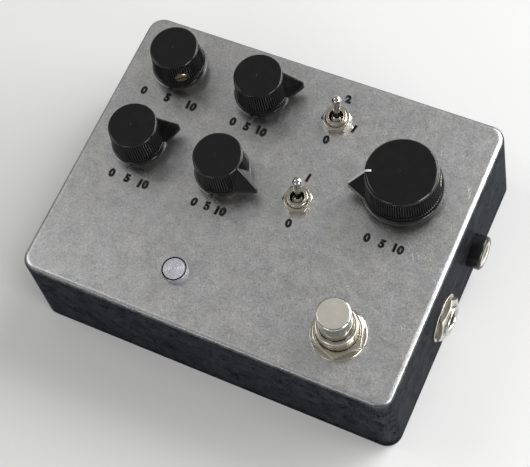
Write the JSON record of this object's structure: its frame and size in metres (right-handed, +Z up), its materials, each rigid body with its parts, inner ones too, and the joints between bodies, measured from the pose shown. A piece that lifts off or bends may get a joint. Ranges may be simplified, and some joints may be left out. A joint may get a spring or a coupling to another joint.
{
  "type": "analog delay pedal",
  "caption": "Small foot pedal in a bare die-cast box, with pointer knobs, toggle switches, a lamp lens, a stomp switch, side jacks and a power socket.",
  "frame": {"origin": "middle of the flat underside of the base plate", "axes": "+X to the player's right, towards the wall with the input jack and the power socket; +Y to the back; +Z up through the control panel"},
  "size_m": [0.1259, 0.094, 0.0505],
  "materials": {
    "tumbled_aluminium": "tumbled, bare",
    "plate_aluminium": "tumbled, bare",
    "screw_steel": "plated",
    "black_phenolic": "gloss",
    "brass": "turned",
    "shaft_aluminium": "turned",
    "pot_shell": "plated",
    "nickel": "nickel plate",
    "chrome": "chrome plate",
    "switch_plastic": "moulded",
    "black_plastic": "moulded",
    "spring_steel": "drawn wire",
    "clear_lens": "clear plastic",
    "clear_lamp": "clear epoxy",
    "board_green": "solder mask",
    "capacitor_sleeve": "sleeve",
    "resistor_body": "lacquer",
    "tinned_copper": "tinned",
    "wire_insulation": "insulation"
  },
  "bodies": {
    "case": {"enclosure_body": "tumbled_aluminium", "base_plate": "plate_aluminium", "base_screws": "screw_steel", "circuit_board": "board_green", "chips": "black_plastic", "capacitors": "capacitor_sleeve", "resistors": "resistor_body", "pot_pins": "tinned_copper", "pot_washers": "nickel", "pot_nuts": "nickel", "toggle_nuts": "nickel", "switch_lugs": "tinned_copper", "stomp_case": "black_plastic", "stomp_bushing": "nickel", "stomp_nuts": "nickel", "stomp_washer": "nickel", "stomp_spring": "spring_steel", "lamp_lens": "clear_lens", "lamp": "clear_lamp", "input_jack": "nickel", "output_jack": "nickel", "jack_housings": "black_plastic", "jack_nuts": "nickel", "jack_washers": "nickel", "jack_contacts": "tinned_copper", "power_socket": "black_plastic", "power_socket_sleeve": "nickel", "power_socket_pin": "nickel", "power_socket_nut": "black_plastic", "hookup_wires": "wire_insulation", "pot_volume": "pot_shell", "pot_feedback": "pot_shell", "pot_tone": "pot_shell", "pot_mix": "pot_shell", "pot_time": "pot_shell", "toggle_body_upper": "switch_plastic", "toggle_body_lower": "switch_plastic"},
    "volume_control": {"knob_volume": "black_phenolic", "knob_insert_volume": "brass", "set_screw_volume": "brass", "shaft_volume": "shaft_aluminium"},
    "feedback_control": {"knob_feedback": "black_phenolic", "knob_insert_feedback": "brass", "set_screw_feedback": "brass", "shaft_feedback": "shaft_aluminium"},
    "tone_control": {"knob_tone": "black_phenolic", "knob_insert_tone": "brass", "set_screw_tone": "brass", "shaft_tone": "shaft_aluminium"},
    "mix_control": {"knob_mix": "black_phenolic", "knob_insert_mix": "brass", "set_screw_mix": "brass", "shaft_mix": "shaft_aluminium"},
    "time_control": {"knob_time": "black_phenolic", "knob_insert_time": "brass", "set_screw_time": "brass", "shaft_time": "shaft_aluminium"},
    "upper_toggle": {"toggle_lever_upper": "chrome"},
    "lower_toggle": {"toggle_lever_lower": "chrome"},
    "stomp_button": {"stomp_button": "chrome"}
  },
  "joints": [
    {"name": "volume_turn", "type": "hinge", "parent": "case", "child": "volume_control", "pos_m": [-0.041, 0.03, 0.0372], "axis": [0, 0, 1], "range_deg": [-186, 114]},
    {"name": "feedback_turn", "type": "hinge", "parent": "case", "child": "feedback_control", "pos_m": [-0.0132, 0.03, 0.0372], "axis": [0, 0, 1], "range_deg": [-90, 210]},
    {"name": "tone_turn", "type": "hinge", "parent": "case", "child": "tone_control", "pos_m": [-0.041, 0.0022, 0.0372], "axis": [0, 0, 1], "range_deg": [-100, 200]},
    {"name": "mix_turn", "type": "hinge", "parent": "case", "child": "mix_control", "pos_m": [-0.0132, 0.0022, 0.0372], "axis": [0, 0, 1], "range_deg": [-48, 252]},
    {"name": "time_turn", "type": "hinge", "parent": "case", "child": "time_control", "pos_m": [0.0377, 0.0161, 0.0372], "axis": [0, 0, 1], "range_deg": [-260, 40]},
    {"name": "upper_flip", "type": "hinge", "parent": "case", "child": "upper_toggle", "pos_m": [0.0104, 0.0308, 0.0349], "axis": [1, 0, 0], "range_deg": [0, 22]},
    {"name": "lower_flip", "type": "hinge", "parent": "case", "child": "lower_toggle", "pos_m": [0.0104, 0.0026, 0.0349], "axis": [1, 0, 0], "range_deg": [0, 22]},
    {"name": "stomp_press", "type": "slide", "parent": "case", "child": "stomp_button", "axis": [0, 0, 1], "range_m": [-0.003, 0], "stiffness_N_per_m": 1500, "springref_m": 0.002, "deforming": ["stomp_spring"]}
  ]
}
